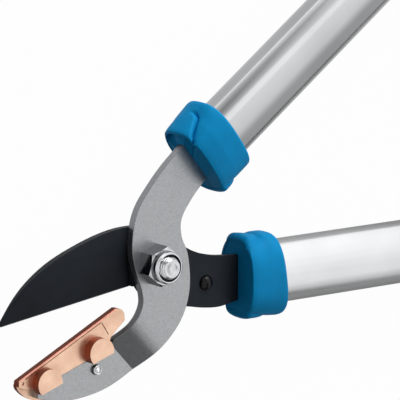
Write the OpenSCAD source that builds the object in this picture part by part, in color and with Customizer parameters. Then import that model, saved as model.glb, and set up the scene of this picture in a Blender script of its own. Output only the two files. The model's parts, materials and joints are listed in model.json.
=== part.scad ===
// Anvil lopper with oval tube handles.
// The pivot axis is Z, the jaw's nut side faces +Z and the grips point to +X.
// Z is zero on the outer face of the bolt head.

/* [Head] */
// Length from the pivot to the end of the cutting edge
head_l = 80; // [70:1:95]
// Thickness of the anvil jaw plate
jaw_t = 4; // [3:0.5:5]
// Length over which the jaw plate is cranked down into the blade's plane
crank_l = 15; // [12:1:18]
// Thickness of the blade plate
blade_t = 3.5; // [2.5:0.5:4.5]
// Distance from the pivot axis down to the line of the cutting edge
edge_offset = 8.75; // [7:0.25:10]
// Gap left between the closed cutting edge and the anvil
edge_gap = 0.3; // [0.2:0.05:0.6]
// Slope of the cutting edge at rest, tip up
edge_angle = 10.8; // [6:0.2:16]
// Slope of the anvil's cutting face, tip down
anvil_angle = 7.4; // [4:0.2:11]
// Width of the ground front face, from the cutting edge towards the spine
grind_w = 21; // [16:1:24]
// Depth that the grind takes off the front face at the cutting edge
grind_front = 2.2; // [1:0.1:2.3]
// Depth that the grind takes off the back face at the cutting edge
grind_back = 0.8; // [0.2:0.1:1]

/* [Anvil] */
// Thickness of the flange behind the jaw arm
flange_t = 2.5; // [1.5:0.5:4]
// Diameter of the two half round lugs in front of the jaw arm
lug_d = 13; // [10:0.5:15]
// Height of the lugs above the jaw arm
lug_h = 4.75; // [3:0.25:7]
// Distance from a lug's centre to its flat lower side
lug_flat = 2.8; // [2:0.2:5]
// Diameter of the pin that holds the anvil on the arm
anvil_pin_d = 4.5; // [3:0.5:5]
// Height of the pin's end above the jaw arm
anvil_pin_out = 1.75; // [0.5:0.25:3]

/* [Pivot] */
// Diameter of the pivot bolt
bolt_d = 10; // [8:0.5:12]
// Width across flats of the bolt head and the nut
hex_af = 16; // [15:0.5:19]
// Height of the bolt head
head_h = 6.4; // [5:0.2:8]
// Diameter of the washer under the bolt head
washer_d = 20; // [18:0.5:24]
// Thickness of the washer
washer_t = 1.5; // [1:0.25:2.5]
// Height of the lock nut with its collar
nut_h = 12; // [10:0.5:14]
// Height of the lock nut's round collar
nut_collar_h = 3.2; // [2.5:0.1:4]
// Length of bolt that shows past the nut
bolt_out = 2; // [1:0.25:5]
// Diameter of the stop rivet's domed head
stop_d = 7.2; // [5:0.2:9]
// Height of the stop rivet's domed head
stop_h = 2.8; // [1.5:0.1:3.4]

/* [Handles] */
// Angle of the jaw's handle above the middle line
jaw_handle_angle = 17.5; // [12:0.5:24]
// Angle of the blade's handle below the middle line
blade_handle_angle = 18.8; // [12:0.2:24]
// Offset of the jaw's handle outwards from the pivot
jaw_handle_offset = 21.7; // [19:0.1:24]
// Offset of the blade's handle outwards from the pivot
blade_handle_offset = 13.2; // [11:0.1:15]
// Width of the oval tubes
tube_w = 30; // [27:0.5:33]
// Depth of the oval tubes
tube_d = 23; // [20:0.5:25]
// Wall of the oval tubes
tube_wall = 1.6; // [1:0.1:2.2]
// Length of the oval tubes
tube_l = 595; // [350:5:800]
// Length of the tangs inside the tubes
tang_l = 66; // [45:1:90]
// Wall of the sleeves beside the tangs
sleeve_wall = 2.8; // [2:0.1:3.5]
// Diameter of the pins through the tubes and the tangs
tang_pin_d = 6; // [4:0.5:8]
// Length of the collars
collar_l = 20; // [17:0.5:26]
// Wall of the collars
collar_wall = 3.2; // [2:0.2:4.5]
// Depth of the dish in the collars' front
dish_depth = 1; // [0.5:0.5:3]
// Length of the raised pads round the collars' narrow sides, from the front
pad_l = 12.5; // [9:0.5:14]
// Width of the raised pads at the front
pad_w = 21; // [17:0.5:24]
// Height of the raised pads
pad_h = 1.2; // [0.4:0.1:1.6]
// Depth from the collar's front to the end of the tube
mouth_depth = 6; // [4:0.5:9]

/* [Grips] */
// Length of the soft grips
grip_l = 140; // [100:5:200]
// Wall of the soft grips
grip_wall = 3.2; // [2:0.2:5]
// Length of the band at the front of each grip
band_l = 9; // [6:0.5:14]
// Thickness of the end caps
cap_t = 5; // [3:0.5:8]
// Length of the end cap's plug inside the tube
plug_l = 14; // [8:1:24]

/* [Hidden] */
$fn = 64;

// Clearances
slide_gap = 0.05;
pivot_clear = 0.05;
fit_gap = 0.1;
seat_gap = 0.05;
overrun = 1;
reach = head_l + tube_l;

// Heights along the pivot axis
washer_z = head_h;
blade_z = head_h + washer_t + slide_gap;
jaw_z = blade_z + blade_t + slide_gap;
arm_z = jaw_z - jaw_t;
nut_z = jaw_z + jaw_t;
insert_h = nut_collar_h / 2;
insert_z = nut_z + nut_h - nut_collar_h;
bolt_l = nut_z + nut_h + bolt_out;
hex_turn_angle = 30;
jaw_mid_z = jaw_z + jaw_t / 2;
blade_mid_z = blade_z + blade_t / 2;

// Tube section, its end radius and the pieces that fit in it
tube_end_r = tube_d / 3;
sleeve_w = tube_w - 2 * (tube_wall + fit_gap);
sleeve_d = tube_d - 2 * (tube_wall + fit_gap);
sleeve_end_r = tube_end_r - tube_wall - fit_gap;
tang_w = sleeve_w - 2 * sleeve_wall;

// Places along the handles: the collars' mouths from the foot of the pivot, the rest from the mouth
jaw_collar_share = 0.556;
blade_collar_share = 0.641;
jaw_collar_s = jaw_collar_share * head_l;
blade_collar_s = blade_collar_share * head_l;
tang_end = mouth_depth + tang_l;
sleeve_l = tang_l + sleeve_wall;
tang_pin_x = collar_l * 2 / 3;
tube_end = mouth_depth + tube_l;
grip_x = tube_end - grip_l;
band_x = grip_x - band_l;

// Crank of the jaw plate, across the bend lines
crank_angle = 23.9;
crank_start_share = 0.3;
crank_start = -crank_start_share * head_l;
crank_slope = atan(jaw_t / crank_l);
crank_r = 3 * crank_l;
crank_steps = 6;

// Outline points of the head, as shares of its length
jaw_back_shares = [[0.255, 0.489], [0.135, 0.426], [0.016, 0.348], [-0.059, 0.255], [-0.114, 0.125],
    [-0.127, 0], [-0.124, -0.104], [-0.147, -0.195], [-0.236, -0.271], [-0.3625, -0.309]];
jaw_belly_shares = [[-0.935, -0.395], [-0.845, -0.452], [-0.72, -0.511], [-0.525, -0.549],
    [-0.3375, -0.538], [-0.125, -0.488], [0.066, -0.393], [0.181, -0.25], [0.234, -0.0625],
    [0.2275, 0.0625], [0.2625, 0.1625], [0.375, 0.246]];
blade_spine_shares = [[-1.009, 0.107], [-0.88, 0.193], [-0.75, 0.249], [-0.595, 0.284], [-0.42, 0.294],
    [-0.245, 0.287], [-0.095, 0.26], [0.0375, 0.2075], [0.15, 0.125], [0.225, 0.019], [0.3125, -0.081],
    [0.4375, -0.169]];
blade_belly_shares = [[0.375, -0.464], [0.2625, -0.416], [0.1625, -0.359], [0.0625, -0.3125],
    [-0.0375, -0.244], [-0.094, -0.156], [-0.116, -0.0875]];
blade_tip_shares = [[-1.015, 0.085], [-1.016, 0.096]];
anvil_nose_shares = [[-0.2575, -0.17], [-0.246, -0.2025], [-0.255, -0.24]];
anvil_under_share = [-0.375, -0.29];
anvil_end_shares = [[-0.9175, -0.342], [-0.9825, -0.3125], [-1.0265, -0.277]];
flange_shares = [[-1.0135, -0.297], [-1.008, -0.322], [-0.978, -0.373], [-0.905, -0.437], [-0.775, -0.475],
    [-0.625, -0.49], [-0.4875, -0.469], [-0.425, -0.4]];
lug_shares = [[-0.8625, -0.325], [-0.49, -0.318]];
anvil_pin_share = [-0.525, -0.4175];
stop_share = [0.329, -0.2875];
seat_share = 0.3425;
seat_start_share = 0.4;
seat_end_share = 0.906;
heel_share = 0.1437;
shoulder_share = 0.128;
land_end_share = 1.0375;
nose_start_share = 0.306;
seat_y = -seat_share * head_l;
seat_start_x = -seat_start_share * head_l;
seat_end_x = -seat_end_share * head_l;
outline_steps = 6;

// Anvil face details
land_offset = edge_offset + edge_gap;
land_chamfer = 0.45;
flange_drop = 3;
groove_drop = 1;
groove_w = 0.4;
groove_depth = 0.5;
groove_shares = [-1, -0.43];
crease_share = [-0.404, -0.181];
crease_angle = 13.9;
crease_l = 7;
bead_mark_d = 1.6;
bead_mark_share = -1.024;
bead_mark_drop = 2;

// Section stations of the mouldings: place along the length, then walls inwards, outwards and in depth
collar_station_shares = [[0, 0.85, 0.55, 0.42], [0.09, 1.1, 0.8, 0.75], [0.47, 1.1, 1.2, 1.03],
    [0.84, 1.05, 1.5, 1.08], [1, 0.6, 1.05, 0.66]];
pad_station_shares = [[0, 0.85, 0.55, 0.42], [0.15, 1.1, 0.8, 0.75], [1, 0.9, 1.1, 1.03]];
grip_station_shares = [[0, 1], [0.05, 1.2], [0.3, 0.85], [0.55, 1.15], [0.82, 0.9], [1, 1.3]];
band_wall_share = 1.15;
moulding_power = 2.3;
moulding_steps = 48;
slab_t = 0.01;
cap_edge_share = 0.5;

// Points and curves
function spot(share) = share * head_l;
function spots(shares) = [for (share = shares) spot(share)];
function curve_point(a, b, c, d, t) =
    (2 * b + (c - a) * t + (2 * a - 5 * b + 4 * c - d) * t * t + (3 * b - a - 3 * c + d) * t * t * t) / 2;
function smooth(points, steps) = let (last = len(points) - 1)
    concat([for (i = [0 : last - 1], k = [0 : steps - 1])
        curve_point(points[max(i - 1, 0)], points[i], points[i + 1], points[min(i + 2, last)], k / steps)],
        [points[last]]);
function turned(p, angle) = [p.x * cos(angle) - p.y * sin(angle), p.x * sin(angle) + p.y * cos(angle)];
function jaw_handle_point(s, out) = turned([s, jaw_handle_offset + out], jaw_handle_angle);
function blade_handle_point(s, out) = turned([s, -blade_handle_offset - out], -blade_handle_angle);
function edge_point(share) = turned([share * head_l, -edge_offset], -edge_angle);
function land_point(share, drop) = turned([share * head_l, -land_offset - drop], anvil_angle);
function moulded(half_w, half_d, shift) = [for (k = [0 : moulding_steps - 1])
    let (a = 360 * k / moulding_steps)
        [shift + half_w * sign(cos(a)) * pow(abs(cos(a)), 2 / moulding_power),
            half_d * sign(sin(a)) * pow(abs(sin(a)), 2 / moulding_power)]];

// Places the handle pieces: X runs along the tube from the collar's mouth, Y points outwards
module on_jaw_handle() {
    rotate([0, 0, jaw_handle_angle])
        translate([jaw_collar_s, jaw_handle_offset, jaw_mid_z])
            children();
}

module on_blade_handle() {
    rotate([0, 0, -blade_handle_angle])
        translate([blade_collar_s, -blade_handle_offset, blade_mid_z])
            mirror([0, 1, 0])
                children();
}

// Extrudes a section along X
module along(start, length) {
    translate([start, 0, 0])
        rotate([90, 0, 90])
            linear_extrude(length)
                children();
}

// Oval of four arcs
module oval(w, d, end_r) {
    half_w = w / 2;
    half_d = d / 2;
    centre_x = half_w - end_r;
    side_r = (centre_x * centre_x + half_d * half_d - end_r * end_r) / (2 * (half_d - end_r));
    meet_x = centre_x * side_r / (side_r - end_r);
    for (side = [-1, 1])
        translate([side * centre_x, 0])
            circle(end_r);
    intersection() {
        translate([0, half_d - side_r])
            circle(side_r, $fn = 4 * $fn);
        translate([0, side_r - half_d])
            circle(side_r, $fn = 4 * $fn);
        square([2 * meet_x, d], center = true);
    }
}

module tube_outline(gap) {
    oval(tube_w + 2 * gap, tube_d + 2 * gap, tube_end_r + gap);
}

// Loft through moulded sections, each a slab at its station along X
module lofted(length, stations) {
    for (i = [0 : len(stations) - 2])
        hull()
            for (station = [stations[i], stations[i + 1]])
                along(station[0] * (length - slab_t), slab_t)
                    polygon(moulded((tube_w + station[1] + station[2]) / 2, tube_d / 2 + station[3],
                        (station[2] - station[1]) / 2));
}

// Jaw plate

// Profile of the cranked sheet: X runs across the bend lines
function crank_arc(r, x, z) = [for (k = [0 : crank_steps]) let (a = crank_slope * k / crank_steps)
    [x - r * sin(a), z + r * cos(a)]];

module cranked_sheet() {
    bend_x = crank_start + crank_r * tan(crank_slope / 2);
    bend_z = jaw_z + jaw_t - crank_r;
    lower_x = crank_start - crank_l;
    back_x = lower_x + jaw_t * tan(crank_slope / 2);
    rotate([0, 0, crank_angle])
        rotate([90, 0, 0])
            linear_extrude(2 * reach, center = true)
                polygon(concat([[reach, jaw_z], [reach, jaw_z + jaw_t]], crank_arc(crank_r, bend_x, bend_z),
                    [[lower_x, jaw_z], [-reach, jaw_z], [-reach, arm_z], [back_x, arm_z]],
                    [for (i = [crank_steps : -1 : 0]) crank_arc(crank_r - jaw_t, bend_x, bend_z)[i]]));
}

module jaw_outline() {
    back = concat([jaw_handle_point(jaw_collar_s, tang_w / 2)], spots(jaw_back_shares));
    belly = concat(spots(jaw_belly_shares), [jaw_handle_point(jaw_collar_s, -tang_w / 2)]);
    polygon(concat([jaw_handle_point(jaw_collar_s + tang_end, tang_w / 2)], smooth(back, outline_steps),
        [[seat_start_x, seat_y], [seat_end_x, seat_y]], smooth(belly, outline_steps),
        [jaw_handle_point(jaw_collar_s + tang_end, -tang_w / 2)]));
}

module anvil_jaw() {
    color("darkgray")
        difference() {
            intersection() {
                translate([0, 0, arm_z])
                    linear_extrude(2 * jaw_t)
                        jaw_outline();
                cranked_sheet();
            }
            translate([0, 0, arm_z - overrun])
                cylinder(h = 2 * (jaw_t + overrun), d = bolt_d + 2 * pivot_clear);
            anvil_pin_bore();
            on_jaw_handle()
                tang_pin_bore();
        }
}

// Anvil

module anvil_pin_bore() {
    translate(concat(spot(anvil_pin_share), [arm_z - flange_t - overrun]))
        cylinder(h = flange_t + jaw_t + 2 * overrun, d = anvil_pin_d + 2 * seat_gap);
}

module anvil_bar() {
    translate([0, 0, arm_z])
        linear_extrude(jaw_t)
            polygon(concat([land_point(-land_end_share, 0)],
                smooth(concat([land_point(-nose_start_share, 0)], spots(anvil_nose_shares)), outline_steps),
                [spot(anvil_under_share), [seat_start_x - overrun, seat_y + seat_gap]],
                spots(anvil_end_shares)));
}

module anvil_flange() {
    translate([0, 0, arm_z - flange_t])
        linear_extrude(flange_t)
            polygon(concat(smooth(spots(flange_shares), outline_steps),
                [land_point(-seat_start_share, flange_drop), land_point(-land_end_share, flange_drop)]));
}

module anvil_lugs() {
    for (share = lug_shares)
        translate(concat(spot(share), [jaw_z]))
            intersection() {
                cylinder(h = lug_h, d = lug_d);
                translate([-lug_d, -lug_flat, 0])
                    cube([2 * lug_d, lug_d, lug_h]);
            }
}

// Slot that takes the arm's upper edge, open below
module arm_slot() {
    translate([-reach, seat_y - reach, arm_z - seat_gap])
        cube([2 * reach, reach, jaw_t + 2 * seat_gap]);
}

// Frame on the anvil's cutting face: X runs along it and Y points out of it
module on_land(z) {
    rotate([0, 0, anvil_angle])
        translate([0, -land_offset, z])
            children();
}

module land_chamfers() {
    cut = land_chamfer / sqrt(2);
    for (side = [-1, 1])
        on_land(side > 0 ? jaw_z : arm_z)
            rotate([45 * side, 0, 0])
                translate([-reach, -cut, -overrun])
                    cube([2 * reach, cut + overrun, 2 * overrun]);
}

module land_groove() {
    groove_start = groove_shares[0] * head_l;
    groove_end = groove_shares[1] * head_l;
    on_land(jaw_z - groove_depth)
        translate([groove_start, -groove_drop - groove_w / 2, 0])
            cube([groove_end - groove_start, groove_w, groove_depth + overrun]);
    on_land(jaw_z - groove_depth)
        translate([bead_mark_share * head_l, -bead_mark_drop, 0])
            cylinder(h = groove_depth + overrun, d = bead_mark_d);
}

// Crease across the front face, between the bar and its nose
module nose_crease() {
    translate(concat(spot(crease_share), [jaw_z - groove_depth]))
        rotate([0, 0, crease_angle])
            translate([-groove_w / 2, -crease_l, 0])
                cube([groove_w, crease_l, groove_depth + overrun]);
}

module anvil() {
    color("darksalmon")
        difference() {
            union() {
                difference() {
                    anvil_bar();
                    land_chamfers();
                    land_groove();
                    nose_crease();
                }
                anvil_flange();
                anvil_lugs();
            }
            arm_slot();
            anvil_pin_bore();
        }
}

module anvil_pin() {
    pin_l = flange_t + jaw_t + anvil_pin_out;
    rim = anvil_pin_d / 8;
    color("gainsboro")
        translate(concat(spot(anvil_pin_share), [arm_z - flange_t]))
            rotate_extrude()
                polygon([[0, 0], [anvil_pin_d / 2, 0], [anvil_pin_d / 2, pin_l - rim],
                    [anvil_pin_d / 2 - rim, pin_l], [0, pin_l]]);
}

// Pivot fasteners

// Hexagon with its corners turned off at the ends that are marked
module hex_body(h, low_end, high_end) {
    corner_r = hex_af / sqrt(3);
    turned_h = (corner_r - hex_af / 2) * tan(hex_turn_angle);
    face_r = hex_af / 2;
    intersection() {
        cylinder(h = h, r = corner_r, $fn = 6);
        rotate_extrude()
            polygon([[0, 0], [low_end ? face_r : corner_r, 0], [corner_r, low_end ? turned_h : 0],
                [corner_r, high_end ? h - turned_h : h], [high_end ? face_r : corner_r, h], [0, h]]);
    }
}

module pivot_bolt() {
    shank_r = bolt_d / 2;
    point = shank_r / 5;
    color("silver")
        union() {
            hex_body(head_h, true, false);
            rotate_extrude()
                polygon([[0, 0], [shank_r, 0], [shank_r, bolt_l - point], [shank_r - point, bolt_l],
                    [0, bolt_l]]);
        }
}

module bolt_washer() {
    color("silver")
        translate([0, 0, washer_z])
            difference() {
                cylinder(h = washer_t, d = washer_d);
                translate([0, 0, -overrun])
                    cylinder(h = washer_t + 2 * overrun, d = bolt_d + 2 * fit_gap);
            }
}

module pivot_nut() {
    collar_r = hex_af / 2 - nut_collar_h / 6;
    pocket_r = collar_r - nut_collar_h / 4;
    lip_r = pocket_r - nut_collar_h / 8;
    round_r = nut_collar_h / 4;
    hex_h = nut_h - nut_collar_h;
    color("silver")
        translate([0, 0, nut_z])
            difference() {
                union() {
                    hex_body(hex_h, false, true);
                    rotate_extrude()
                        polygon([[0, 0], [collar_r, 0], [collar_r, nut_h - round_r],
                            [collar_r - round_r / 3, nut_h - round_r / 3], [collar_r - round_r, nut_h],
                            [0, nut_h]]);
                }
                translate([0, 0, -overrun])
                    cylinder(h = nut_h + 2 * overrun, d = bolt_d + 2 * fit_gap);
                translate([0, 0, hex_h])
                    cylinder(h = insert_h + fit_gap, r = pocket_r);
                translate([0, 0, hex_h])
                    cylinder(h = nut_h, r = lip_r);
            }
}

module nut_insert() {
    ring_r = hex_af / 2 - nut_collar_h * (1 / 6 + 1 / 4) - fit_gap;
    color("dimgray")
        translate([0, 0, insert_z])
            difference() {
                cylinder(h = insert_h, r = ring_r);
                translate([0, 0, -overrun])
                    cylinder(h = insert_h + 2 * overrun, d = bolt_d + 2 * fit_gap);
            }
}

// Blade

module blade_outline() {
    spine = concat(spots(blade_spine_shares), [blade_handle_point(blade_collar_s, -tang_w / 2)]);
    belly = concat([blade_handle_point(blade_collar_s, tang_w / 2)], spots(blade_belly_shares));
    polygon(concat([edge_point(-heel_share), edge_point(-1)], spots(blade_tip_shares),
        smooth(spine, outline_steps), [blade_handle_point(blade_collar_s + tang_end, -tang_w / 2)],
        [blade_handle_point(blade_collar_s + tang_end, tang_w / 2)], smooth(belly, outline_steps)));
}

// Wedge that the grind takes off one face, down to its depth at the cutting edge
module grind(face_z, depth, side) {
    cut_w = 2 * grind_w;
    rotate([0, 0, -edge_angle])
        translate([0, -edge_offset, face_z])
            rotate([90, 0, -90])
                translate([0, 0, shoulder_share * head_l])
                    linear_extrude(reach)
                        polygon([[-grind_w, 0], [cut_w, -side * depth * (1 + cut_w / grind_w)],
                            [cut_w, side * blade_t], [-grind_w, side * blade_t]]);
}

module blade() {
    color("#23272b")
        difference() {
            translate([0, 0, blade_z])
                linear_extrude(blade_t)
                    blade_outline();
            grind(blade_z + blade_t, grind_front, 1);
            grind(blade_z, grind_back, -1);
            translate([0, 0, blade_z - overrun])
                cylinder(h = blade_t + 2 * overrun, d = bolt_d + 2 * pivot_clear);
            translate(concat(spot(stop_share), [blade_z - overrun]))
                cylinder(h = blade_t + 2 * overrun, d = stop_d / 2 + 2 * seat_gap);
            on_blade_handle()
                tang_pin_bore();
        }
}

// Domed head in front, shank through the blade and a flush end behind
module stop_rivet() {
    head_r = stop_d / 2;
    dome_r = (head_r * head_r + stop_h * stop_h) / (2 * stop_h);
    color("#1b1d20")
        translate(concat(spot(stop_share), [blade_z + blade_t + seat_gap]))
            union() {
                intersection() {
                    translate([0, 0, stop_h - dome_r])
                        sphere(dome_r);
                    cylinder(h = stop_h, r = head_r);
                }
                translate([0, 0, -blade_t - seat_gap])
                    cylinder(h = blade_t + seat_gap + stop_h / 4, d = stop_d / 2);
            }
}

// Handle pieces, made once for either side

module tang_pin_bore() {
    translate([tang_pin_x, 0, -tube_d])
        cylinder(h = 2 * tube_d, d = tang_pin_d + 2 * seat_gap);
}

module tube() {
    color("lightgray")
        difference() {
            along(mouth_depth, tube_l)
                tube_outline(0);
            along(mouth_depth - overrun, tube_l + 2 * overrun)
                tube_outline(-tube_wall);
            tang_pin_bore();
        }
}

module tang_sleeve(tang_t) {
    color("#1c1e20")
        difference() {
            along(mouth_depth, sleeve_l)
                oval(sleeve_w, sleeve_d, sleeve_end_r);
            along(mouth_depth - overrun, tang_l + overrun + seat_gap)
                square([tang_w + 2 * seat_gap, tang_t + 2 * seat_gap], center = true);
            tang_pin_bore();
        }
}

module tang_pin() {
    pin_l = tube_d - 2 * fit_gap;
    color("gray")
        translate([tang_pin_x, 0, -pin_l / 2])
            cylinder(h = pin_l, d = tang_pin_d);
}

// Pads on both narrow sides, bounded by an arc that runs back from the front
module collar_pads() {
    stations = [for (share = pad_station_shares)
        [share[0], share[1] * collar_wall + pad_h, share[2] * collar_wall + pad_h, share[3] * collar_wall]];
    arc_r = (pad_l * pad_l + pad_w * pad_w / 4) / (2 * pad_l);
    intersection() {
        lofted(pad_l, stations);
        translate([pad_l - arc_r, 0, 0])
            rotate([90, 0, 0])
                cylinder(h = 2 * tube_w, r = arc_r, center = true);
    }
}

module collar(tang_t) {
    stations = [for (share = collar_station_shares)
        [share[0], share[1] * collar_wall, share[2] * collar_wall, share[3] * collar_wall]];
    color("#1480b8")
        difference() {
            union() {
                lofted(collar_l, stations);
                collar_pads();
            }
            along(-overrun, dish_depth + overrun)
                tube_outline(fit_gap);
            along(-overrun, mouth_depth + 2 * overrun)
                square([tang_w + 2 * fit_gap, tang_t + 2 * fit_gap], center = true);
            along(mouth_depth - seat_gap, collar_l)
                tube_outline(fit_gap);
        }
}

module grip_band() {
    wall = band_wall_share * grip_wall;
    color("#1480b8")
        difference() {
            along(band_x, band_l - seat_gap)
                polygon(moulded(tube_w / 2 + wall, tube_d / 2 + wall, 0));
            along(band_x - overrun, band_l + 2 * overrun)
                tube_outline(fit_gap);
        }
}

module grip() {
    stations = [for (share = grip_station_shares)
        [share[0], share[1] * grip_wall, share[1] * grip_wall, share[1] * grip_wall]];
    color("#202224")
        difference() {
            translate([grip_x, 0, 0])
                lofted(grip_l, stations);
            along(grip_x - overrun, grip_l + 2 * overrun)
                tube_outline(fit_gap);
        }
}

module grip_cap() {
    rim = grip_station_shares[len(grip_station_shares) - 1][1] * grip_wall;
    small_rim = cap_edge_share * rim;
    color("#1480b8")
        union() {
            translate([tube_end + seat_gap, 0, 0])
                lofted(cap_t, [[0, rim, rim, rim], [cap_edge_share, rim, rim, rim],
                    [1, small_rim, small_rim, small_rim]]);
            along(tube_end - plug_l, plug_l + cap_t / 2)
                oval(sleeve_w, sleeve_d, sleeve_end_r);
        }
}

module jaw_tube() { on_jaw_handle() tube(); }
module jaw_tang_sleeve() { on_jaw_handle() tang_sleeve(jaw_t); }
module jaw_tang_pin() { on_jaw_handle() tang_pin(); }
module jaw_collar() { on_jaw_handle() collar(jaw_t); }
module jaw_grip_band() { on_jaw_handle() grip_band(); }
module jaw_grip() { on_jaw_handle() grip(); }
module jaw_grip_cap() { on_jaw_handle() grip_cap(); }

module blade_tube() { on_blade_handle() tube(); }
module blade_tang_sleeve() { on_blade_handle() tang_sleeve(blade_t); }
module blade_tang_pin() { on_blade_handle() tang_pin(); }
module blade_collar() { on_blade_handle() collar(blade_t); }
module blade_grip_band() { on_blade_handle() grip_band(); }
module blade_grip() { on_blade_handle() grip(); }
module blade_grip_cap() { on_blade_handle() grip_cap(); }

anvil_jaw();
anvil();
anvil_pin();
pivot_bolt();
bolt_washer();
pivot_nut();
nut_insert();
jaw_tube();
jaw_tang_sleeve();
jaw_tang_pin();
jaw_collar();
jaw_grip_band();
jaw_grip();
jaw_grip_cap();
blade();
stop_rivet();
blade_tube();
blade_tang_sleeve();
blade_tang_pin();
blade_collar();
blade_grip_band();
blade_grip();
blade_grip_cap();
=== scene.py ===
import json
import math
import bpy
import bmesh
from mathutils import Matrix, Vector


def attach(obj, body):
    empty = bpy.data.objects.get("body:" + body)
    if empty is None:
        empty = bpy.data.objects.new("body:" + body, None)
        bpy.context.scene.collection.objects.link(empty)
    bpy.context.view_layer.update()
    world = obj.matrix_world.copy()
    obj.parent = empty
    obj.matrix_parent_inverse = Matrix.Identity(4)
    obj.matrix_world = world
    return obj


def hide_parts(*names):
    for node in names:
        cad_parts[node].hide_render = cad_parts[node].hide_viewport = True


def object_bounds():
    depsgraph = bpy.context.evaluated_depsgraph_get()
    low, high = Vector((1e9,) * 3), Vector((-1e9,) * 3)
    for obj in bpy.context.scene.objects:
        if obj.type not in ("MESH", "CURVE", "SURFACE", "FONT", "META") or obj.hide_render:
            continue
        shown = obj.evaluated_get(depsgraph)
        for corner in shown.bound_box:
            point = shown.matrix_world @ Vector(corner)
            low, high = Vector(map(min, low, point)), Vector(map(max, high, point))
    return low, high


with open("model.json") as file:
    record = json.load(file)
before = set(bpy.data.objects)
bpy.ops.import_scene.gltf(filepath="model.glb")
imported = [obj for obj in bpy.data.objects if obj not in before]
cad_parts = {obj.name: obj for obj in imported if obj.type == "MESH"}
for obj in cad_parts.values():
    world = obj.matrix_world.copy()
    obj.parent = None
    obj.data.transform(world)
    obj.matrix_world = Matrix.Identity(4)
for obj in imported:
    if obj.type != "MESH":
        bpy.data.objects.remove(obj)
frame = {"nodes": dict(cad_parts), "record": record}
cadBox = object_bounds()  # the CAD model's own box
nodes = frame["nodes"]
mm = 0.001
print("frame loaded:", len(nodes), "nodes")


# Small helpers

def linear(hexColour):  # sRGB hex to linear RGBA
    parts = [int(hexColour[i:i + 2], 16) / 255 for i in (1, 3, 5)]
    return [c / 12.92 if c <= 0.04045 else ((c + 0.055) / 1.055) ** 2.4 for c in parts] + [1]


def addNode(tree, kind, inputs=None, stops=None, **settings):  # a node with its settings, values and links
    node = tree.nodes.new(kind)
    for name, value in settings.items():
        setattr(node, name, value)
    for socket, value in (inputs or {}).items():
        if isinstance(value, bpy.types.NodeSocket):
            tree.links.new(value, node.inputs[socket])
        else:
            node.inputs[socket].default_value = value
    for index, (place, colour) in enumerate(stops or []):  # colour ramp stops
        elements = node.color_ramp.elements
        element = elements[index] if index < len(elements) else elements.new(place)
        element.position = place
        element.color = linear(colour)
    return node


def newMaterial(name, colour, roughness, metallic=0.0, specular=0.5):  # a fresh Principled material
    material = bpy.data.materials.new(name)
    material.use_nodes = True
    shader = material.node_tree.nodes["Principled BSDF"]
    shader.inputs["Base Color"].default_value = linear(colour)
    shader.inputs["Roughness"].default_value = roughness
    shader.inputs["Metallic"].default_value = metallic
    shader.inputs["Specular IOR Level"].default_value = specular
    return material, material.node_tree, shader


def smoothed(value, low, high):  # 0 below low, 1 above high
    t = min(max((value - low) / (high - low), 0), 1)
    return t * t * (3 - 2 * t)


def ringAngles(steps):  # directions round one ring
    return [2 * math.pi * k / steps for k in range(steps)]


# Camera, at the photograph's place and angle

camera = {
    "place": (-0.8157, 0.6374, 1.3325),
    "right": (0.7548, -0.2526, 0.6054),
    "up": (0.4205, 0.8947, -0.1509),
    "back": (-0.5035, 0.3685, 0.7815),
    "lens": 337.5,
    "sensor": 36,
}


def placeCamera():
    data = bpy.data.cameras.new("camera")
    data.lens = camera["lens"]
    data.sensor_width = camera["sensor"]
    seen = bpy.data.objects.new("camera", data)
    bpy.context.scene.collection.objects.link(seen)
    axes = Matrix([camera["right"], camera["up"], camera["back"]]).transposed()
    seen.matrix_world = Matrix.Translation(camera["place"]) @ axes.to_4x4()
    bpy.context.scene.camera = seen
    bpy.context.scene.view_settings.view_transform = "Standard"


placeCamera()
print("camera set")


# Studio: a pale floor, a sky that is bright on the grips' side, two soft lamps

studio = {
    "floorSize": 6,
    "floorGap": 0.2,  # mm below the part
    "floorColour": "#BEBEBE",
    "floorRough": 0.9,
    "whiteShare": 0.98,  # how far the floor is lifted to plain white for the eye
    "glossShare": (0.0, 0.95),  # the same in metal's mirror image, on the blade's side and on the jaw's side: painted light, the floor glows white in reflections on the jaw's side only
    "glossEdge": (-0.04, 0.06),  # places in metres between which that share grows
    "skyBright": 1.62,
    "skyDim": 0.12,
    "skyEdge": (0.13, 0.23),  # sideways directions between which the sky grows bright
    "skyFall": [(0.0, "#303030"), (0.025, "#787878"), (0.05, "#C0C0C0"), (0.12, "#E4E4E4"), (0.33, "#EBEBEB"),
                (0.68, "#FFFFFF")],  # from the blade's side to the jaw's side
    "cornerWay": (0.947, -0.322, 0),  # the sky's corner past the grips, where it dims
    "cornerEdge": (0.6, 0.78),
    "cornerDim": 0.55,
    "wallEdge": (0.89, 0.98),  # a pale wall low on the jaw's side
    "wallBright": 1.7,
    "fillBright": 1.1,  # what metal mirrors on the dim side of the sky
    "fillEdge": (0.24, 0.08),  # sideways directions between which the fill grows
    "cards": [(0.11, 0.9, 0.42), (0.15, -0.66, 0.74)],  # dark cards that the jaw's tube and its ramp mirror
    "cardEdge": (0.84, 0.68),  # cosines from a card's middle between which it fades
    "cardEnd": (-0.04, -0.24),  # sideways directions between which the cards end
    "lamps": {  # place, size and power
        "softLamp": ((1.1, 1.76, 0.73), 0.9, 18),
        "streakLamp": ((0.43, 1.1, 1.61), 0.7, 0.6),
    },
}


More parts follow.
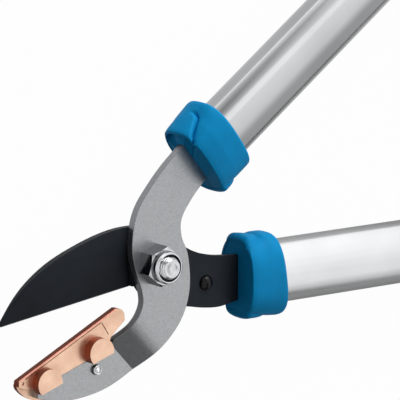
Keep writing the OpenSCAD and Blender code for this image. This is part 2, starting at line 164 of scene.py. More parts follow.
def buildFloor():
    level = cadBox[0].z - studio["floorGap"] * mm
    half = studio["floorSize"] / 2
    mesh = bpy.data.meshes.new("floor")
    corners = [(-half, -half, level), (half, -half, level), (half, half, level), (-half, half, level)]
    mesh.from_pydata(corners, [], [(0, 1, 2, 3)])
    floor = bpy.data.objects.new("floor", mesh)
    bpy.context.scene.collection.objects.link(floor)
    material, tree, shader = newMaterial("paperFloor", studio["floorColour"],
                                         studio["floorRough"])  # matt paper: an even white with a soft shadow
    path = addNode(tree, "ShaderNodeLightPath")
    eye = addNode(tree, "ShaderNodeMath", {0: path.outputs["Is Camera Ray"], 1: studio["whiteShare"]},
                  operation="MULTIPLY")
    geometry = addNode(tree, "ShaderNodeNewGeometry")
    spot = addNode(tree, "ShaderNodeSeparateXYZ", {0: geometry.outputs["Position"]})
    # painted light: a pool of white on the jaw's side of the floor, seen only in reflections
    (low, high), (dim, bright) = studio["glossEdge"], studio["glossShare"]
    lit = addNode(tree, "ShaderNodeMapRange", {"Value": spot.outputs["Y"], "From Min": low, "From Max": high,
                                               "To Min": dim, "To Max": bright})
    gloss = addNode(tree, "ShaderNodeMath", {0: path.outputs["Is Glossy Ray"], 1: lit.outputs[0]},
                    operation="MULTIPLY")
    passing = addNode(tree, "ShaderNodeMath", {0: path.outputs["Is Transmission Ray"], 1: gloss.outputs[0]},
                      operation="MAXIMUM")
    share = addNode(tree, "ShaderNodeMath", {0: eye.outputs[0], 1: passing.outputs[0]}, operation="MAXIMUM")
    glow = addNode(tree, "ShaderNodeEmission", {"Color": (1, 1, 1, 1), "Strength": 1.0})
    mix = addNode(tree, "ShaderNodeMixShader",
                  {0: share.outputs[0], 1: shader.outputs[0], 2: glow.outputs[0]})
    tree.links.new(mix.outputs[0], tree.nodes["Material Output"].inputs["Surface"])
    mesh.materials.append(material)


def buildSky():
    world = bpy.data.worlds.new("openSky")
    bpy.context.scene.world = world
    world.use_nodes = True
    tree = world.node_tree
    background = tree.nodes["Background"]
    place = addNode(tree, "ShaderNodeTexCoord")
    parts = addNode(tree, "ShaderNodeSeparateXYZ", {0: place.outputs["Generated"]})
    low, high = studio["skyEdge"]
    side = addNode(tree, "ShaderNodeMapRange",
                   {"Value": parts.outputs["X"], "From Min": low, "From Max": high,
                    "To Min": studio["skyDim"], "To Max": studio["skyBright"]},
                   interpolation_type="SMOOTHSTEP")
    across = addNode(tree, "ShaderNodeMapRange", {"Value": parts.outputs["Y"], "From Min": -1.0, "From Max": 1.0})
    fall = addNode(tree, "ShaderNodeValToRGB", {"Fac": across.outputs[0]}, studio["skyFall"])
    lit = addNode(tree, "ShaderNodeMath", {0: side.outputs[0], 1: fall.outputs[0]}, operation="MULTIPLY")
    corner = addNode(tree, "ShaderNodeVectorMath", {0: place.outputs["Generated"], 1: studio["cornerWay"]},
                     operation="DOT_PRODUCT")
    low, high = studio["cornerEdge"]
    dim = addNode(tree, "ShaderNodeMapRange", {"Value": corner.outputs["Value"], "From Min": low, "From Max": high,
                                               "To Min": 1.0, "To Max": studio["cornerDim"]})
    low, high = studio["wallEdge"]
    wall = addNode(tree, "ShaderNodeMapRange", {"Value": parts.outputs["Y"], "From Min": low, "From Max": high,
                                                "To Min": 0.0, "To Max": studio["wallBright"]})
    whole = addNode(tree, "ShaderNodeMath", {0: lit.outputs[0], 1: dim.outputs[0], 2: wall.outputs[0]},
                    operation="MULTIPLY_ADD")
    path = addNode(tree, "ShaderNodeLightPath")
    low, high = studio["fillEdge"]
    back = addNode(tree, "ShaderNodeMapRange", {"Value": parts.outputs["X"], "From Min": low, "From Max": high,
                                                "To Min": 0.0, "To Max": studio["fillBright"]})
    fill = addNode(tree, "ShaderNodeMath", {0: back.outputs[0], 1: fall.outputs[0]}, operation="MULTIPLY")
    fill = addNode(tree, "ShaderNodeMath", {0: fill.outputs[0], 1: path.outputs["Is Glossy Ray"]},
                   operation="MULTIPLY")
    low, high = studio["cardEnd"]
    beyond = addNode(tree, "ShaderNodeMapRange", {"Value": parts.outputs["X"], "From Min": low, "From Max": high})
    low, high = studio["cardEdge"]
    for way in studio["cards"]:
        card = addNode(tree, "ShaderNodeVectorMath", {0: place.outputs["Generated"], 1: way},
                       operation="DOT_PRODUCT")
        past = addNode(tree, "ShaderNodeMapRange",
                       {"Value": card.outputs["Value"], "From Min": low, "From Max": high},
                       interpolation_type="SMOOTHSTEP")
        clear = addNode(tree, "ShaderNodeMath", {0: past.outputs[0], 1: beyond.outputs[0]}, operation="MAXIMUM")
        fill = addNode(tree, "ShaderNodeMath", {0: fill.outputs[0], 1: clear.outputs[0]}, operation="MULTIPLY")
    most = addNode(tree, "ShaderNodeMath", {0: whole.outputs[0], 1: fill.outputs[0]}, operation="MAXIMUM")
    strength = addNode(tree, "ShaderNodeMix",  # 2 and 3 are its two numbers
                       {0: path.outputs["Is Camera Ray"], 2: most.outputs[0], 3: 1.0})
    tree.links.new(strength.outputs[0], background.inputs["Strength"])
    background.inputs["Color"].default_value = (1, 1, 1, 1)


def hangLamp(name, place, size, power):
    data = bpy.data.lights.new(name, "AREA")
    data.shape = "DISK"
    data.size = size
    data.energy = power
    lamp = bpy.data.objects.new(name, data)
    bpy.context.scene.collection.objects.link(lamp)
    lamp.location = place
    lamp.rotation_mode = "QUATERNION"
    lamp.rotation_quaternion = (-Vector(place)).to_track_quat("-Z", "Y")


buildFloor()
buildSky()
for name, values in studio["lamps"].items():
    hangLamp(name, *values)
print("studio built")


# Handles: where the two oval tubes lie, from the collar's front, in millimetres and degrees

handles = {
    "jaw": {"body": "anvil_side", "turn": 17.5, "front": 44.48, "out": 21.7, "height": 13.5, "side": 1,
            "silverAndShade": "#B0B1B2"},
    "blade": {"body": "blade_side", "turn": -18.8, "front": 51.28, "out": -13.2, "height": 9.7, "side": -1,
              "silverAndShade": "#D0D1D2"},
}  # the tubes' silver; the jaw's is painted darker, as painted shade
tube = {"halfWidth": 15.0, "halfDepth": 11.5, "start": 6.0, "end": 601.0, "power": 2.35}


def handlePlace(handle):  # handle frame: X along the tube, Y outwards
    turn = Matrix.Rotation(math.radians(handle["turn"]), 4, "Z")
    shift = Matrix.Translation((handle["front"], handle["out"], handle["height"]))
    return turn @ shift @ Matrix.Diagonal((1, handle["side"], 1, 1))


def ovalPoint(angle, inward, outward, depth, power):  # superellipse round the tube, y and z
    c, s = math.cos(angle), math.sin(angle)
    reach = tube["halfWidth"] + (outward if c > 0 else inward)
    y = reach * math.copysign(abs(c) ** (2 / power), c)
    z = (tube["halfDepth"] + depth) * math.copysign(abs(s) ** (2 / power), s)
    return y, z


# Materials

noiseSpread = (0.3, 0.7)  # most of a noise's values lie between these


def grain(tree, shader, sizeMm, strength, depthMm, rough, stretch=(1, 1, 1), turn=0):  # fine relief and its gloss
    place = addNode(tree, "ShaderNodeTexCoord")
    mapping = addNode(tree, "ShaderNodeMapping",
                      {"Vector": place.outputs["Object"], "Rotation": (0, 0, math.radians(turn)), "Scale": stretch},
                      vector_type="TEXTURE")
    noise = addNode(tree, "ShaderNodeTexNoise",
                    {"Vector": mapping.outputs[0], "Scale": 1 / (sizeMm * mm), "Detail": 4.0})
    bump = addNode(tree, "ShaderNodeBump",
                   {"Height": noise.outputs["Fac"], "Strength": strength, "Distance": depthMm * mm})
    tree.links.new(bump.outputs[0], shader.inputs["Normal"])
    (low, high), (glossy, dull) = noiseSpread, rough
    gloss = addNode(tree, "ShaderNodeMapRange", {"Value": noise.outputs["Fac"], "From Min": low, "From Max": high,
                                                 "To Min": glossy, "To Max": dull})
    tree.links.new(gloss.outputs[0], shader.inputs["Roughness"])
    return place.outputs["Object"]


def faceShare(tree):  # 1 on the flat faces of a plate, 0 on its walls: the mask for painted shade and light by facing
    geometry = addNode(tree, "ShaderNodeNewGeometry")
    parts = addNode(tree, "ShaderNodeSeparateXYZ", {0: geometry.outputs["Normal"]})
    return addNode(tree, "ShaderNodeMath", {0: parts.outputs["Z"]}, operation="ABSOLUTE").outputs[0]


def mottled(tree, shader, colour, spot, sizeMm, tones):  # change of tone over the surface, in clouds of one size
    cloud = addNode(tree, "ShaderNodeTexNoise", {"Vector": spot, "Scale": 1 / (sizeMm * mm), "Detail": 5.0})
    tone = addNode(tree, "ShaderNodeValToRGB", {"Fac": cloud.outputs["Fac"]}, list(zip(noiseSpread, tones)))
    mixed = addNode(tree, "ShaderNodeMix", {0: 1.0, 6: colour, 7: tone.outputs[0]},  # 6 and 7 are its two colours
                    data_type="RGBA", blend_type="MULTIPLY")
    tree.links.new(mixed.outputs[2], shader.inputs["Base Color"])


def plateSteel():  # rolled steel plate, tumbled: even satin grey faces, with painted shade that darkens the walls and the bent ramp
    material, tree, shader = newMaterial("rolledPlateSteel", "#AEB0B2", 0.36, metallic=1.0)
    spot = grain(tree, shader, sizeMm=1.0, strength=0.1, depthMm=0.05,
                 rough=(0.31, 0.43))  # grit of 0.2 mm, drawn coarser to show
    # painted shade by facing: walls and the bent ramp darker than the flat faces
    tone = addNode(tree, "ShaderNodeValToRGB", {"Fac": faceShare(tree)},
                   [(0.0, "#94969A"), (0.5, "#808284"), (0.964, "#707274"), (0.992, "#A6A8AA")])
    mottled(tree, shader, tone.outputs[0], spot, 0.9, ("#EAEAEA", "#FFFFFF"))
    return material


def castCopper():  # zinc casting, copper plated and tumbled: warm satin faces, with painted shade that makes the sides darker and redder
    material, tree, shader = newMaterial("platedCopperCasting", "#F2C6A4", 0.4, metallic=1.0)
    spot = grain(tree, shader, sizeMm=0.9, strength=0.16, depthMm=0.06,
                 rough=(0.28, 0.42))  # cast skin of 0.3 mm, drawn coarser to show
    # painted shade by facing: sides and slopes darker and redder than the flat faces
    tone = addNode(tree, "ShaderNodeValToRGB", {"Fac": faceShare(tree)},
                   [(0.0, "#8E4B36"), (0.8, "#A17166"), (0.95, "#EBC6AC")])
    mottled(tree, shader, tone.outputs[0], spot, 9, ("#E2DAD6", "#FFFFFF"))
    return material


bladeEdge = {
    "angle": 10.8,
    "offset": 8.75,  # from the pivot's axis, in mm
    "heel": 11.5,  # the edge starts this far ahead of the pivot
    "bareWidth": 0.45,
    "bareCore": 0.4,  # share of the width that is bare steel all over
    "bareColour": "#8C9094",
}


def bladeCoat():  # baked low-friction coating on spring steel: near black, soft sheen, bare at the very edge, with painted light on the walls and flat faces
    material, tree, shader = newMaterial("bakedBlackCoating", "#171C23", 0.42, specular=0.08)
    spot = grain(tree, shader, sizeMm=0.8, strength=0.1, depthMm=0.04,
                 rough=(0.36, 0.5))  # orange peel of 0.5 mm, drawn coarser to show
    # painted light by facing: walls and flat faces lighter than the ground slopes
    tone = addNode(tree, "ShaderNodeValToRGB", {"Fac": faceShare(tree)},
                   [(0.0, "#2C3034"), (0.7, "#171C23"), (0.994, "#171C23"), (0.999, "#282D34")])
    turn = math.radians(bladeEdge["angle"])
    across = addNode(tree, "ShaderNodeVectorMath", {0: spot, 1: (math.sin(turn), math.cos(turn), 0)},
                     operation="DOT_PRODUCT")
    line, width = -bladeEdge["offset"] * mm, bladeEdge["bareWidth"] * mm
    bare = addNode(tree, "ShaderNodeMapRange",
                   {"Value": across.outputs["Value"], "From Min": line + width,
                    "From Max": line + bladeEdge["bareCore"] * width, "To Min": 0.0, "To Max": 1.0})
    parts = addNode(tree, "ShaderNodeSeparateXYZ", {0: spot})
    ahead = addNode(tree, "ShaderNodeMath", {0: parts.outputs["X"], 1: -bladeEdge["heel"] * mm},
                    operation="LESS_THAN")
    worn = addNode(tree, "ShaderNodeMath", {0: bare.outputs[0], 1: ahead.outputs[0]}, operation="MULTIPLY")
    mixed = addNode(tree, "ShaderNodeMix",
                    {0: worn.outputs[0], 6: tone.outputs[0], 7: linear(bladeEdge["bareColour"])}, data_type="RGBA")
    mottled(tree, shader, mixed.outputs[2], spot, 20, ("#D8D8D8", "#FFFFFF"))
    return material


def tubeAluminium(turn, colour):  # drawn aluminium tube, satin anodised: silver with fine draw lines along it
    material, tree, shader = newMaterial("satinAnodisedAluminium", colour, 0.18, metallic=1.0)
    spot = grain(tree, shader, sizeMm=1.6, strength=0.04, depthMm=0.03, rough=(0.13, 0.19),
                 stretch=(60, 1, 1), turn=turn)  # lines of 0.1 mm, drawn coarser to show
    mottled(tree, shader, linear(colour), spot, 40, ("#F2F2F2", "#FFFFFF"))
    return material


def platedSteel(name, colour):  # steel, bright zinc plated: mirror-like with a slight haze, and painted shade on its walls
    material, tree, shader = newMaterial(name, colour, 0.16, metallic=1.0)
    spot = grain(tree, shader, sizeMm=2, strength=0.08, depthMm=0.05,
                 rough=(0.11, 0.24))  # polishing waves of 2 mm
    # painted shade by facing: walls darker than the faces
    tone = addNode(tree, "ShaderNodeValToRGB", {"Fac": faceShare(tree)}, [(0.05, "#7C7E80"), (0.4, colour)])
    mottled(tree, shader, tone.outputs[0], spot, 4, ("#D8D8D8", "#FFFFFF"))
    return material


def blackenedSteel(colour="#08090B"):  # rivet of steel, oiled black: a dark dome with a soft gleam
    material, tree, shader = newMaterial("oiledBlackSteel", colour, 0.24, specular=0.22)
    spot = grain(tree, shader, sizeMm=0.6, strength=0.06, depthMm=0.03,
                 rough=(0.2, 0.28))  # oil skin of 0.3 mm, drawn coarser to show
    mottled(tree, shader, linear(colour), spot, 3, ("#D8D8D8", "#FFFFFF"))
    return material


def blueMoulding(colour="#0F92CE"):  # moulded polypropylene: solid blue, soft sheen, spark-eroded mould texture
    material, tree, shader = newMaterial("mouldedPolypropylene", colour, 0.48, specular=0.05)
    spot = grain(tree, shader, sizeMm=0.8, strength=0.12, depthMm=0.05,
                 rough=(0.42, 0.56))  # mould texture of 0.15 mm, drawn coarser to show
    mottled(tree, shader, linear(colour), spot, 14, ("#EAEAEA", "#FFFFFF"))
    return material


def blackMoulding(name, colour, roughness):  # moulded nylon: dull black
    material, tree, shader = newMaterial(name, colour, roughness, specular=0.3)
    spot = grain(tree, shader, sizeMm=0.8, strength=0.15, depthMm=0.05,
                 rough=(roughness - 0.06, roughness + 0.08))  # mould texture of 0.15 mm, drawn coarser to show
    mottled(tree, shader, linear(colour), spot, 8, ("#D0D0D0", "#FFFFFF"))
    return material


def gripRubber(colour="#222426"):  # moulded thermoplastic rubber: dull black with a fine stipple
    material, tree, shader = newMaterial("thermoplasticRubber", colour, 0.7, specular=0.35)
    spot = grain(tree, shader, sizeMm=1.0, strength=0.45, depthMm=0.12, rough=(0.6, 0.8))  # stipple of 1 mm
    mottled(tree, shader, linear(colour), spot, 25, ("#D4D4D4", "#FFFFFF"))
    return material


finishes = {  # by the record's slot
    "jaw_steel": plateSteel(),
    "anvil_copper": castCopper(),
    "pin_steel": platedSteel("polishedSteel", "#F2F3F4"),
    "fastener_zinc": platedSteel("brightZincPlating", "#D2D4D6"),
    "insert_nylon": blackMoulding("darkNylon", "#2A2C2F", 0.5),
    "blade_coating": bladeCoat(),
    "sleeve_plastic": blackMoulding("blackNylon", "#17191B", 0.55),
    "collar_plastic": blueMoulding(),
    "grip_rubber": gripRubber(),
}
ownFinishes = {  # of one node alone
    # the jaw's tube carries painted shade in its darker silver
    "jaw_tube": tubeAluminium(handles["jaw"]["turn"], handles["jaw"]["silverAndShade"]),
    "blade_tube": tubeAluminium(handles["blade"]["turn"], handles["blade"]["silverAndShade"]),
    "stop_rivet": blackenedSteel(),
}
for part in frame["record"]["subparts"]:
    for slot in nodes[part["node"]].material_slots:
        slot.material = ownFinishes.get(part["node"]) or finishes[part["material_slot"]]
print("materials set:", len(finishes) + len(ownFinishes))


# Softened edges on the metal pieces

softEdges = {
    "weldGap": 0.002,  # mm
    "flatAngle": 0.2,  # faces within these degrees become one flat, so that no sliver shows
    "segments": 3,
    "faceWeight": 100,  # the largest face rules, so that flats stay flat
    "pieces": {  # width in mm and least angle in degrees
        "anvil_jaw": (0.18, 12),
        "anvil": (0.08, 18),
        "blade": (0.12, 35),
        "pivot_nut": (0.2, 18),
        "bolt_washer": (0.2, 35),
    },
}


def softenEdges(name, width, angle):
    piece = nodes[name]
    weld = piece.modifiers.new("weld", "WELD")
    weld.merge_threshold = softEdges["weldGap"] * mm
    flat = piece.modifiers.new("joinFlats", "DECIMATE")
    flat.decimate_type = "DISSOLVE"
    flat.angle_limit = math.radians(softEdges["flatAngle"])
    bevel = piece.modifiers.new("softEdge", "BEVEL")
    bevel.width = width * mm
    bevel.segments = softEdges["segments"]
    bevel.limit_method = "ANGLE"
    bevel.angle_limit = math.radians(angle)
    bevel.use_clamp_overlap = True
    shade = piece.modifiers.new("evenNormals", "WEIGHTED_NORMAL")
    shade.keep_sharp = False
    shade.weight = softEdges["faceWeight"]


for name, values in softEdges["pieces"].items():
    softenEdges(name, *values)
print("edges softened")


# Skins through rings of points, in millimetres

def skin(name, node, rings, joined, place, body, slot, crease=35):  # joined: the last ring meets the first
    mesh = bmesh.new()
    rows = [[mesh.verts.new(p) for p in ring] for ring in rings]
    pairs = list(zip(rows, rows[1:])) + ([(rows[-1], rows[0])] if joined else [])
    for first, second in pairs:
        count = len(first)
        for k in range(count):
            mesh.faces.new((first[k], first[(k + 1) % count], second[(k + 1) % count], second[k]))
    if not joined:
        for ring in (rows[0], rows[-1]):
            mesh.faces.new(ring)
    mesh.transform(Matrix.Scale(mm, 4) @ place)
    bmesh.ops.recalc_face_normals(mesh, faces=mesh.faces)
    for face in mesh.faces:
        face.smooth = True
    data = bpy.data.meshes.new(name)
    mesh.to_mesh(data)
    mesh.free()
    data.set_sharp_from_angle(angle=math.radians(crease))
    piece = bpy.data.objects.new(name, data)
    bpy.context.scene.collection.objects.link(piece)
    data.materials.append(finishes[slot])
    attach(piece, body)
    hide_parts(node)


# Pivot bolt: a chamfered hexagon head, a shank and a rolled thread that shows past the nut

bolt = {
    "steps": 72,
    "crease": 28,
    "across": 16.0,
    "headHeight": 6.4,
    "headFace": (2.0, 5.0, 7.2, 7.55),  # radii of the rings on the head's face
    "chamfer": (7.6, 1.73),  # radius at the face, and how fast the cone widens
    "chamferStep": 0.16,
    "chamferRings": 7,
    "edgeBreak": (0.25, 0.2),  # the head's edge at the washer, in height and in width
    "bearing": 7.2,
    "fillet": [(0, 0.3), (0.1, 0.05), (0.3, 0)],  # height past the head, width past the shank
    "radius": 5.0,
    "length": 29.5,
    "threadStart": 14.0,
    "pitch": 1.5,
    "threadDepth": 0.75,
    "flank": (0.15, 0.95),  # from the crest to the root
    "ringsPerTurn": 12,
    "point": 1.0,
    "pointSlope": 0.9,
    "dimple": 0.3,
    "dimpleRadius": 3.4,
    "dimpleSlope": 2.2,
    "endRadius": 4.1,
    "endRings": (3.9, 3.4, 3.0, 2.6, 2.2, 1.8, 1.4, 1.0, 0.5),
}


def hexReach(angle):  # distance to the hexagon's flat in one direction
    sector = math.radians(60)
    return bolt["across"] / 2 / math.cos((angle % sector) - sector / 2)


def boltRings():
    angles = ringAngles(bolt["steps"])
    top, radius, end = bolt["headHeight"], bolt["radius"], bolt["length"]

    def ring(z, reach):
        return [(reach(a) * math.cos(a), reach(a) * math.sin(a), z) for a in angles]

    def threaded(z):  # rolled thread that fades into the shank and into the point
        fade = smoothed(z, bolt["threadStart"], bolt["threadStart"] + bolt["pitch"])
        limit = radius - max(0, z - (end - bolt["point"])) * bolt["pointSlope"]

        def reach(a):
            turn = (z / bolt["pitch"] - a / (2 * math.pi)) % 1
            cut = smoothed(abs(turn - 0.5) * 2, *bolt["flank"])
            return min(radius - fade * bolt["threadDepth"] * cut, limit)
        return reach

    rings = [ring(0, lambda a: r) for r in bolt["headFace"]]
    cone, widening = bolt["chamfer"]
    for k in range(1, bolt["chamferRings"] + 1):  # cone that cuts the corners of the hexagon
        z = bolt["chamferStep"] * k
        rings.append(ring(z, lambda a: min(hexReach(a), cone + z * widening)))
    rise, inset = bolt["edgeBreak"]
    rings += [ring(top - rise, hexReach), ring(top, lambda a: hexReach(a) - inset),
              ring(top, lambda a: bolt["bearing"])]
    rings += [ring(top + height, lambda a: radius + width) for height, width in bolt["fillet"]]
    z = bolt["threadStart"]
    while z < end:
        rings.append(ring(z, threaded(z)))
        z += bolt["pitch"] / bolt["ringsPerTurn"]
    rings.append(ring(end, lambda a: bolt["endRadius"]))
    for r in bolt["endRings"]:
        sink = bolt["dimple"] * smoothed(bolt["dimpleRadius"] - r, 0, bolt["dimpleSlope"])
        rings.append(ring(end - sink, lambda a: r))
    return rings


skin("pivotBolt", "pivot_bolt", boltRings(), False, Matrix.Identity(4), "anvil_side", "fastener_zinc",
     bolt["crease"])
print("bolt built")


# Anvil pin: its end is riveted over, with a ring pressed round a bright crown

pin = {
    "steps": 48,
    "place": (-42.0, -33.4, 4.95),
    "radius": 2.25,
    "length": 8.25,
    "foot": [(0.6, 0), (1.9, 0), (2.25, 0.3)],  # radius and height
    "crown": [(0, -1.1), (0, -0.35), (0.1, -0.1), (0.3, 0), (0.5, -0.1), (0.62, -0.5), (0.8, -0.5), (0.9, -0.15),
              (1.05, 0), (1.4, 0.12), (1.8, 0.17), (2.1, 0.18)],  # inset from the radius, height past the end
}


def pinRings():
    angles = ringAngles(pin["steps"])
    profile = pin["foot"] + [(pin["radius"] - inset, pin["length"] + rise) for inset, rise in pin["crown"]]
    return [[(r * math.cos(a), r * math.sin(a), z) for a in angles] for r, z in profile]


skin("anvilPin", "anvil_pin", pinRings(), False, Matrix.Translation(pin["place"]), "anvil_side", "pin_steel")
print("anvil pin built")


# Collars: a moulded cap on the tube's end with a dished front, a slot for the tang and two raised pads

collar = {
    "length": 19.4,
    "steps": 160,
    "crease": 40,
    "power": 2.8,
    "stations": [(0, 3.0, 2.1, 2.1), (2, 3.6, 2.7, 2.5), (9, 3.5, 3.8, 3.1),
                 (17, 3.4, 4.6, 3.2), (20, 3.2, 4.4, 3.1)],  # place, inward, outward and depth walls
    "innerLip": 0.4,
    "innerRound": 0.3,  # how far the inner lip's rounding lies back, as a share
    "frontTurns": (90, 75, 60, 45, 30, 15, 0),  # degrees round the front lip
    "rearRound": 1.2,
    "rearTurns": (20, 40, 60, 80, 90),
    "ringStep": 0.4,
    "dish": 0.35,
    "dishStep": 0.6,
    "seat": 0.12,
    "boreInset": 0.5,
    "tangWidth": 21.0,
    "tangGap": 0.1,
    "lipSides": (-0.5, 0.5),  # round the ring: from the inner side's lip to the outer side's
    "lipEnds": (0.5, 0.95),  # from the broad side's crisp lip to the soft one at the ends
    "pocketEnds": (0.45, 0.75),  # where the front's pocket begins
    "swellPlace": (7, 12),  # along the collar: where the inner side swells
    "rearPart": 0.4,  # share of the length at which the rear's shift starts
    "frontPart": 9,  # where the front's shift ends
    "farDepth": (-4, 12),  # from the middle to the far side
}
pad = {
    "valleyGrows": (0.5, 5),  # heights over the tube's middle
    "creaseGrows": (0, 2.5),
    "creaseWidth": 0.75,
    "frontSlope": 0.3,  # share of the slope's length at the collar's front
    "broadFrom": 13,  # from here to the middle the valley runs out sooner
    "broadPull": 0.6,
    "valleyPower": 1.6,
}
collarForms = {
    "jaw": {
        "tang": 4.0, "padLength": (12.0, 12.5), "padFront": (1.3, 0.3), "padRear": (1.3, 0.0), "padWidth": 21.0,
        "valley": (0.2, 1.9), "roll": (3.0, 0.4), "slope": (3.0, 9.0), "groove": (0, 1.4),
        "web": (0.6, -0.4), "pocket": (0, 2.2), "lip": (0.4, 2.4, 0.9), "tongue": ((0, 0), (3.0, 5.5)),
        "frontShift": 0, "farShift": 0, "rearShift": (0, 0), "rearInward": 0, "egg": 0,
    },
    "blade": {
        "tang": 3.5, "padLength": (8.5, 12.5), "padFront": (1.6, 2.0), "padRear": (0.6, 0.2), "padWidth": 17.0,
        "valley": (0.2, 0.2), "roll": (3.0, 3.0), "slope": (3.0, 3.0), "groove": (0, 0),
        "web": (-0.5, -0.5), "pocket": (0, 0), "lip": (0.4, 2.4, 2.4), "tongue": ((0, 0), (0, 0)),
        "frontShift": -0.9, "farShift": 0.8, "rearShift": (-2.4, 0.8), "rearInward": 1.0, "egg": 0.06,
    },
}  # pairs: inner side, outer side; lip: rounding of the front on the near broad side, inner side, outer side


def collarWalls(x):  # walls over the tube at one place along the collar
    stations = collar["stations"]
    for before, after in zip(stations, stations[1:]):
        if x <= after[0]:
            share = (x - before[0]) / (after[0] - before[0])
            return [a + (b - a) * share for a, b in zip(before[1:], after[1:])]
    return stations[-1][1:]


def padInside(form, outer, x, z):  # distance in from the pad's outline: an arc, or a tapered tongue
    length, half = form["padLength"][outer], form["padWidth"] / 2
    corner, taper = form["tongue"][outer]
    if corner == 0:
        radius = (length ** 2 + half ** 2) / (2 * length)
        return radius - math.hypot(x - length + radius, z)
    along, across = x - length + corner, abs(z) - half + taper * x / length + corner
    return corner - math.hypot(max(along, 0), max(across, 0)) - min(max(along, across), 0)


def padLift(form, x, y, z):  # height over the plain skin: a pad that rolls over into a crease, then a slow rise
    outer = 1 if y > 0 else 0
    length = form["padLength"][outer]
    inside = padInside(form, outer, x, z)
    valley = form["valley"][outer] * smoothed(z, *pad["valleyGrows"])
    crease = form["groove"][outer] * smoothed(z, *pad["creaseGrows"])
    crease *= math.exp(-(inside / pad["creaseWidth"]) ** 2)
    if inside > 0:
        t = min(inside / form["roll"][outer], 1)
        front, rear = form["padFront"][outer], form["padRear"][outer]
        height = front + (rear - front) * x / length
        return (height + valley) * math.sqrt(1 - (1 - t) ** 2) - valley - crease
    least = pad["frontSlope"]
    slope = form["slope"][outer] * (least + (1 - least) * min(max(x / length, 0), 1))
    away = -inside + pad["broadPull"] * max(0, pad["broadFrom"] - abs(y))
    return -valley * (1 - min(away / slope, 1)) ** pad["valleyPower"] - crease


def collarRing(form, angles, forward, shrink, pocket=(0, 0)):  # forward and shrink come from the lip's width
    points = []
    inner, outer = form["rearShift"]
    crisp, innerLip, outerLip = form["lip"]
    power, length = collar["power"], collar["length"]
    for angle in angles:
        side = abs(math.cos(angle))
        soft = innerLip + (outerLip - innerLip) * smoothed(math.cos(angle), *collar["lipSides"])
        lip = crisp + (soft - crisp) * smoothed(side, *collar["lipEnds"]) if math.sin(angle) > 0 else soft
        x = forward(lip)
        inward, outward, depth = collarWalls(min(max(x, 0), length))
        inward += form["rearInward"] * smoothed(x, *collar["swellPlace"])
        y, z = ovalPoint(angle, inward, outward, depth, power)
        z *= 1 + form["egg"] * math.cos(angle)
        wide, deep = tube["halfWidth"] + outward, tube["halfDepth"] + depth
        normal = Vector((math.copysign(abs(y / wide) ** (power - 1), y) / wide,
                         math.copysign(abs(z / deep) ** (power - 1), z) / deep)).normalized()
        y, z = Vector((y, z)) + (padLift(form, x, y, z) - shrink(lip)) * normal
        atRear = smoothed(x, collar["rearPart"] * length, length)
        atFront = 1 - smoothed(x, 0, collar["frontPart"])
        x += atRear * (inner + (outer - inner) * smoothed(y, -wide, wide))
        x += atFront * (form["frontShift"] + form["farShift"] * smoothed(-z, *collar["farDepth"]))
        sink = pocket[1 if y > 0 else 0] * smoothed(side, *collar["pocketEnds"])
        points.append((x + sink, y, z))
    return points


def slotRing(form, angles, front, rear):  # front and rear: where the slot lies on the inner and the outer side
    halfWidth = collar["tangWidth"] / 2 + collar["tangGap"]
    halfHeight = form["tang"] / 2 + collar["tangGap"]
    tiny = 1e-6  # no division by zero
    points = []
    for angle in angles:
        y, z = ovalPoint(angle, 0, 0, 0, tube["power"])
        scale = min(halfWidth / max(abs(y), tiny), halfHeight / max(abs(z), tiny))
        share = (y * scale / halfWidth + 1) / 2
        points.append((front + (rear - front) * share, y * scale, z * scale))
    return points


def collarRings(form):
    length, rear, dish, inner = collar["length"], collar["rearRound"], collar["dish"], collar["innerLip"]
    angles = ringAngles(collar["steps"])
    step, back = collar["dishStep"], collar["innerRound"]
    rings = [collarRing(form, angles, lambda lip: dish, lambda lip: lip + inner + step, form["pocket"]),
             collarRing(form, angles, lambda lip: inner, lambda lip: lip + inner),
             collarRing(form, angles, lambda lip: back * inner, lambda lip: lip + (1 - back) * inner)]
    for turn in collar["frontTurns"]:
        a = math.radians(turn)
        rings.append(collarRing(form, angles, lambda lip: lip * (1 - math.sin(a)),
                                lambda lip: lip * (1 - math.cos(a))))
    count = round((length - rear - max(form["lip"])) / collar["ringStep"])
    for k in range(1, count + 1):
        share = k / count
        rings.append(collarRing(form, angles, lambda lip: lip + (length - rear - lip) * share, lambda lip: 0))
    for turn in collar["rearTurns"]:
        a = math.radians(turn)
        rings.append(collarRing(form, angles, lambda lip: length - rear * (1 - math.sin(a)),
                                lambda lip: rear * (1 - math.cos(a))))
    seat, start = collar["seat"], tube["start"]
    for x in (length + min(form["rearShift"]) - collar["boreInset"], start):  # along the tube, then across its end
        rings.append([(x, *ovalPoint(a, seat, seat, seat, tube["power"])) for a in angles])
    rings.append(slotRing(form, angles, start, start))
    rings.append(slotRing(form, angles, *form["web"]))
    return rings


for name, handle in handles.items():
    skin(name + "Collar", name + "_collar", collarRings(collarForms[name]), True, handlePlace(handle),
         handle["body"], "collar_plastic", collar["crease"])
print("collars built")


# Grips: a soft sleeve with finger waves and ring grooves, a blue band in front, a blue cap at the end

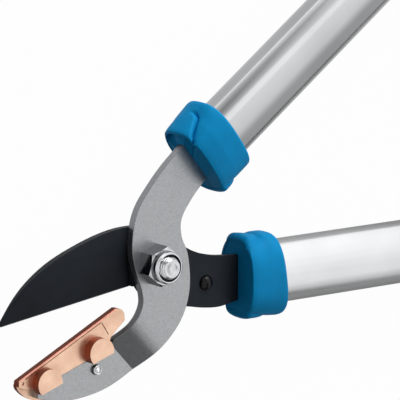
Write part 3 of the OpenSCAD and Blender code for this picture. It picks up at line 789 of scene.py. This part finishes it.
grip = {
    "start": 461.0,
    "length": 140.0,
    "rings": 280,
    "steps": 96,
    "power": 2.3,
    "seat": 0.12,
    "clearance": 0.05,
    "wall": 3.2,
    "waves": [(0, 1.0), (0.05, 1.2), (0.3, 0.85), (0.55, 1.15), (0.82, 0.9), (1, 1.3)],  # place, share of the wall
    "grooves": 9,
    "grooveMiddle": 0.56,  # share of the length
    "groovePitch": 7.0,
    "grooveDepth": 0.5,
    "groovePower": 6,  # more makes them narrower
    "edgeDrop": 0.8,
    "edgeLength": 1.2,
}
band = {
    "length": 9.0,
    "swell": 1.15,  # over the grip's wall
    "edge": [(0, -1.0), (0.1, -0.6), (0.3, -0.32), (0.6, -0.13), (1.0, -0.03), (1.5, 0)],  # place, height
    "crown": 0.2,
}
cap = {
    "plugLength": 14.0,
    "plugInset": 1.75,
    "swell": 1.3,
    "dome": [(0, -0.6), (0.12, -0.35), (0.4, -0.12), (1.0, 0), (2.2, -0.05), (3.0, -0.35), (3.6, -0.8),
             (4.1, -1.5), (4.5, -2.4), (4.75, -3.4), (4.9, -5), (4.97, -7.5), (5.0, -10.5)],  # place, height
}


def gripWall(share):  # wall of the sleeve at a share of its length
    stops = grip["waves"]
    for (low, before), (high, after) in zip(stops, stops[1:]):
        if share <= high:
            return grip["wall"] * (before + (after - before) * smoothed(share, low, high))
    return grip["wall"] * stops[-1][1]


def ovalRing(x, wall, power):
    return [(x, *ovalPoint(a, wall, wall, wall, power)) for a in ringAngles(grip["steps"])]


def sleeveRings(start, walls):  # outside from (place, wall) pairs, then back along the tube
    outside = [ovalRing(start + x, wall, grip["power"]) for x, wall in walls]
    inside = [ovalRing(start + x, grip["seat"], tube["power"]) for x in (walls[-1][0], 0)]
    return outside + inside


def gripWalls():
    length, count, walls = grip["length"], grip["rings"], []
    middle = grip["grooveMiddle"] * length
    for i in range(count + 1):
        x = length * i / count
        wall = gripWall(x / length)
        offset = (x - middle) / grip["groovePitch"]
        if abs(offset) < grip["grooves"] / 2:  # shallow ring grooves in the palm's stretch
            wall -= grip["grooveDepth"] * max(0, math.cos(2 * math.pi * offset)) ** grip["groovePower"]
        edge = min(x, length - x)
        wall -= grip["edgeDrop"] * (1 - smoothed(edge, 0, grip["edgeLength"]))
        walls.append((x, wall))
    return walls


def bandWalls():
    full = band["swell"] * grip["wall"]
    end = band["length"] - grip["clearance"]
    half = band["edge"] + [(end / 2, band["crown"])]
    return [(x, full + w) for x, w in half] + [(end - x, full + w) for x, w in reversed(band["edge"])]


def capRings():  # closed end with a domed face, and the plug in the tube
    end = tube["end"] + grip["clearance"]
    full = grip["wall"] * cap["swell"]
    plug = [ovalRing(x, -cap["plugInset"], tube["power"]) for x in (end - cap["plugLength"], end)]
    return plug + [ovalRing(end + x, full + w, grip["power"]) for x, w in cap["dome"]]


for name, handle in handles.items():
    place, body = handlePlace(handle), handle["body"]
    skin(name + "Grip", name + "_grip", sleeveRings(grip["start"], gripWalls()), True, place, body, "grip_rubber")
    skin(name + "GripBand", name + "_grip_band", sleeveRings(grip["start"] - band["length"], bandWalls()), True,
         place, body, "collar_plastic")
    skin(name + "GripCap", name + "_grip_cap", capRings(), False, place, body, "collar_plastic")
print("grips built")


print("scene built")
